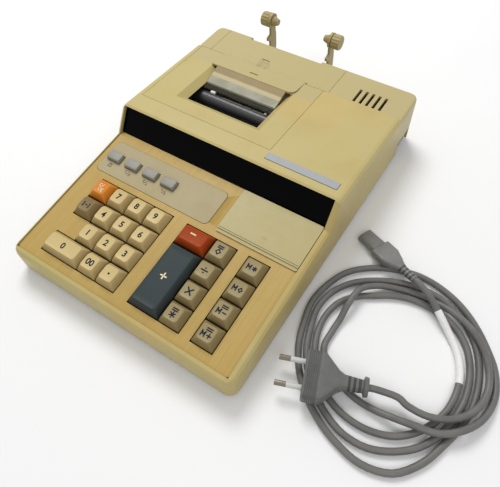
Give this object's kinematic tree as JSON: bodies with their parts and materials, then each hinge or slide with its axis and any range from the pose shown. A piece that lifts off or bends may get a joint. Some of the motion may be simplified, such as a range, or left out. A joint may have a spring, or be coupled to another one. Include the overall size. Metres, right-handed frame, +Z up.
{
  "type": "printing calculator",
  "caption": "Desktop printing calculator with a sloped keyboard, display window, printer under a hinged cover, rear paper arms and a detached mains lead.",
  "frame": {"origin": "on the table, below the middle of the machine's bounding box, paper arms included and the mains lead left out", "axes": "+X to the right along the front edge, +Y towards the back, +Z up"},
  "size_m": [0.3642, 0.3364, 0.061],
  "materials": {
    "housing": "fine textured, yellowed",
    "covers": "fine textured, yellowed",
    "bottom": "fine textured",
    "plate": "fine textured, tan",
    "inlay": "satin",
    "lid": "satin",
    "window": "polished dark filter",
    "display": "polished",
    "buttons": "satin",
    "board": "lacquered circuit board",
    "steel": "dark sheet steel",
    "rubber": "matt",
    "clear": "smoky clear",
    "badge": "brushed, bare",
    "inlet": "moulded",
    "arms": "satin, yellowed",
    "lead": "moulded, satin",
    "key_beige": "satin key plastic",
    "key_olive": "satin key plastic",
    "key_orange": "satin key plastic",
    "key_red": "satin key plastic",
    "key_slate": "satin key plastic",
    "key_umber": "satin key plastic"
  },
  "bodies": {
    "case": {"bottom_case": "bottom", "top_case": "housing", "keyboard_plate": "plate", "inlay_panel": "inlay", "display_window": "window", "display_tube": "display", "rear_cover": "covers", "key_board": "board", "main_board": "board", "transformer": "steel", "printer_chassis": "steel", "paper_motor": "steel", "mains_inlet": "inlet", "badge_plate": "badge", "foot_front_left": "rubber", "foot_front_right": "rubber", "foot_rear_left": "rubber", "foot_rear_right": "rubber", "lead_cord": "lead", "lead_connector": "lead", "lead_plug": "lead"},
    "key_clear": {"key_clear": "key_orange"},
    "key_7": {"key_7": "key_beige"},
    "key_8": {"key_8": "key_beige"},
    "key_9": {"key_9": "key_beige"},
    "key_shift": {"key_shift": "key_umber"},
    "key_4": {"key_4": "key_beige"},
    "key_5": {"key_5": "key_beige"},
    "key_6": {"key_6": "key_beige"},
    "key_1": {"key_1": "key_beige"},
    "key_2": {"key_2": "key_beige"},
    "key_3": {"key_3": "key_beige"},
    "key_0": {"key_0": "key_beige"},
    "key_00": {"key_00": "key_beige"},
    "key_point": {"key_point": "key_beige"},
    "key_minus": {"key_minus": "key_red"},
    "key_plus": {"key_plus": "key_slate"},
    "key_equals": {"key_equals": "key_olive"},
    "key_divide": {"key_divide": "key_olive"},
    "key_times": {"key_times": "key_olive"},
    "key_total": {"key_total": "key_olive"},
    "key_memory_total": {"key_memory_total": "key_olive"},
    "key_memory_subtotal": {"key_memory_subtotal": "key_olive"},
    "key_memory_minus": {"key_memory_minus": "key_olive"},
    "key_memory_plus": {"key_memory_plus": "key_olive"},
    "push_button_1": {"push_button_1": "buttons"},
    "push_button_2": {"push_button_2": "buttons"},
    "push_button_3": {"push_button_3": "buttons"},
    "push_button_4": {"push_button_4": "buttons"},
    "selector_knob_1": {"selector_knob_1": "buttons"},
    "selector_knob_2": {"selector_knob_2": "buttons"},
    "selector_knob_3": {"selector_knob_3": "buttons"},
    "selector_lid": {"selector_lid": "lid"},
    "printer_cover": {"printer_cover": "covers", "tear_bar": "clear"},
    "paper_arms": {"paper_arms": "arms"},
    "spindle_left": {"spindle_left": "arms"},
    "spindle_right": {"spindle_right": "arms"},
    "platen_roller": {"platen_roller": "rubber"},
    "print_drum": {"print_drum": "steel"}
  },
  "joints": [
    {"name": "key_clear_press", "type": "slide", "parent": "case", "child": "key_clear", "axis": [0, 0.0915, -0.9958], "range_m": [0, 0.003], "stiffness_N_per_m": 200, "springref_m": -0.002},
    {"name": "key_7_press", "type": "slide", "parent": "case", "child": "key_7", "axis": [0, 0.0915, -0.9958], "range_m": [0, 0.003], "stiffness_N_per_m": 200, "springref_m": -0.002},
    {"name": "key_8_press", "type": "slide", "parent": "case", "child": "key_8", "axis": [0, 0.0915, -0.9958], "range_m": [0, 0.003], "stiffness_N_per_m": 200, "springref_m": -0.002},
    {"name": "key_9_press", "type": "slide", "parent": "case", "child": "key_9", "axis": [0, 0.0915, -0.9958], "range_m": [0, 0.003], "stiffness_N_per_m": 200, "springref_m": -0.002},
    {"name": "key_shift_press", "type": "slide", "parent": "case", "child": "key_shift", "axis": [0, 0.0915, -0.9958], "range_m": [0, 0.003], "stiffness_N_per_m": 200, "springref_m": -0.002},
    {"name": "key_4_press", "type": "slide", "parent": "case", "child": "key_4", "axis": [0, 0.0915, -0.9958], "range_m": [0, 0.003], "stiffness_N_per_m": 200, "springref_m": -0.002},
    {"name": "key_5_press", "type": "slide", "parent": "case", "child": "key_5", "axis": [0, 0.0915, -0.9958], "range_m": [0, 0.003], "stiffness_N_per_m": 200, "springref_m": -0.002},
    {"name": "key_6_press", "type": "slide", "parent": "case", "child": "key_6", "axis": [0, 0.0915, -0.9958], "range_m": [0, 0.003], "stiffness_N_per_m": 200, "springref_m": -0.002},
    {"name": "key_1_press", "type": "slide", "parent": "case", "child": "key_1", "axis": [0, 0.0915, -0.9958], "range_m": [0, 0.003], "stiffness_N_per_m": 200, "springref_m": -0.002},
    {"name": "key_2_press", "type": "slide", "parent": "case", "child": "key_2", "axis": [0, 0.0915, -0.9958], "range_m": [0, 0.003], "stiffness_N_per_m": 200, "springref_m": -0.002},
    {"name": "key_3_press", "type": "slide", "parent": "case", "child": "key_3", "axis": [0, 0.0915, -0.9958], "range_m": [0, 0.003], "stiffness_N_per_m": 200, "springref_m": -0.002},
    {"name": "key_0_press", "type": "slide", "parent": "case", "child": "key_0", "axis": [0, 0.0915, -0.9958], "range_m": [0, 0.003], "stiffness_N_per_m": 200, "springref_m": -0.002},
    {"name": "key_00_press", "type": "slide", "parent": "case", "child": "key_00", "axis": [0, 0.0915, -0.9958], "range_m": [0, 0.003], "stiffness_N_per_m": 200, "springref_m": -0.002},
    {"name": "key_point_press", "type": "slide", "parent": "case", "child": "key_point", "axis": [0, 0.0915, -0.9958], "range_m": [0, 0.003], "stiffness_N_per_m": 200, "springref_m": -0.002},
    {"name": "key_minus_press", "type": "slide", "parent": "case", "child": "key_minus", "axis": [0, 0.0915, -0.9958], "range_m": [0, 0.003], "stiffness_N_per_m": 200, "springref_m": -0.002},
    {"name": "key_plus_press", "type": "slide", "parent": "case", "child": "key_plus", "axis": [0, 0.0915, -0.9958], "range_m": [0, 0.003], "stiffness_N_per_m": 300, "springref_m": -0.002},
    {"name": "key_equals_press", "type": "slide", "parent": "case", "child": "key_equals", "axis": [0, 0.0915, -0.9958], "range_m": [0, 0.003], "stiffness_N_per_m": 200, "springref_m": -0.002},
    {"name": "key_divide_press", "type": "slide", "parent": "case", "child": "key_divide", "axis": [0, 0.0915, -0.9958], "range_m": [0, 0.003], "stiffness_N_per_m": 200, "springref_m": -0.002},
    {"name": "key_times_press", "type": "slide", "parent": "case", "child": "key_times", "axis": [0, 0.0915, -0.9958], "range_m": [0, 0.003], "stiffness_N_per_m": 200, "springref_m": -0.002},
    {"name": "key_total_press", "type": "slide", "parent": "case", "child": "key_total", "axis": [0, 0.0915, -0.9958], "range_m": [0, 0.003], "stiffness_N_per_m": 200, "springref_m": -0.002},
    {"name": "key_memory_total_press", "type": "slide", "parent": "case", "child": "key_memory_total", "axis": [0, 0.0915, -0.9958], "range_m": [0, 0.003], "stiffness_N_per_m": 200, "springref_m": -0.002},
    {"name": "key_memory_subtotal_press", "type": "slide", "parent": "case", "child": "key_memory_subtotal", "axis": [0, 0.0915, -0.9958], "range_m": [0, 0.003], "stiffness_N_per_m": 200, "springref_m": -0.002},
    {"name": "key_memory_minus_press", "type": "slide", "parent": "case", "child": "key_memory_minus", "axis": [0, 0.0915, -0.9958], "range_m": [0, 0.003], "stiffness_N_per_m": 200, "springref_m": -0.002},
    {"name": "key_memory_plus_press", "type": "slide", "parent": "case", "child": "key_memory_plus", "axis": [0, 0.0915, -0.9958], "range_m": [0, 0.003], "stiffness_N_per_m": 200, "springref_m": -0.002},
    {"name": "push_button_1_press", "type": "slide", "parent": "case", "child": "push_button_1", "axis": [0, 0.0915, -0.9958], "range_m": [0, 0.002], "stiffness_N_per_m": 200, "springref_m": -0.002},
    {"name": "push_button_2_press", "type": "slide", "parent": "case", "child": "push_button_2", "axis": [0, 0.0915, -0.9958], "range_m": [0, 0.002], "stiffness_N_per_m": 200, "springref_m": -0.002},
    {"name": "push_button_3_press", "type": "slide", "parent": "case", "child": "push_button_3", "axis": [0, 0.0915, -0.9958], "range_m": [0, 0.002], "stiffness_N_per_m": 200, "springref_m": -0.002},
    {"name": "push_button_4_press", "type": "slide", "parent": "case", "child": "push_button_4", "axis": [0, 0.0915, -0.9958], "range_m": [0, 0.002], "stiffness_N_per_m": 200, "springref_m": -0.002},
    {"name": "selector_knob_1_slide", "type": "slide", "parent": "case", "child": "selector_knob_1", "axis": [1, 0, 0], "range_m": [-0.004, 0.004]},
    {"name": "selector_knob_2_slide", "type": "slide", "parent": "case", "child": "selector_knob_2", "axis": [1, 0, 0], "range_m": [-0.004, 0.004]},
    {"name": "selector_knob_3_slide", "type": "slide", "parent": "case", "child": "selector_knob_3", "axis": [1, 0, 0], "range_m": [-0.004, 0.004]},
    {"name": "selector_lid_hinge", "type": "hinge", "parent": "case", "child": "selector_lid", "pos_m": [0.0645, -0.03137, 0.04069], "axis": [-1, 0, 0], "range_deg": [0, 95]},
    {"name": "printer_cover_hinge", "type": "hinge", "parent": "case", "child": "printer_cover", "pos_m": [-0.033, 0.089, 0.05332], "axis": [-1, 0, 0], "range_deg": [0, 60]},
    {"name": "paper_arms_hinge", "type": "hinge", "parent": "case", "child": "paper_arms", "pos_m": [-0.0305, 0.1358, 0.014], "axis": [1, 0, 0], "range_deg": [-8, 25]},
    {"name": "spindle_left_spin", "type": "hinge", "parent": "paper_arms", "child": "spindle_left", "pos_m": [-0.0642, 0.1608, 0.05], "axis": [1, 0, 0], "continuous": true},
    {"name": "spindle_right_spin", "type": "hinge", "parent": "paper_arms", "child": "spindle_right", "pos_m": [0.0032, 0.1608, 0.05], "axis": [1, 0, 0], "continuous": true},
    {"name": "platen_roller_spin", "type": "hinge", "parent": "case", "child": "platen_roller", "pos_m": [-0.03, 0.0408, 0.04], "axis": [1, 0, 0], "continuous": true},
    {"name": "print_drum_spin", "type": "hinge", "parent": "case", "child": "print_drum", "pos_m": [-0.03, 0.0263, 0.034], "axis": [1, 0, 0], "continuous": true}
  ]
}
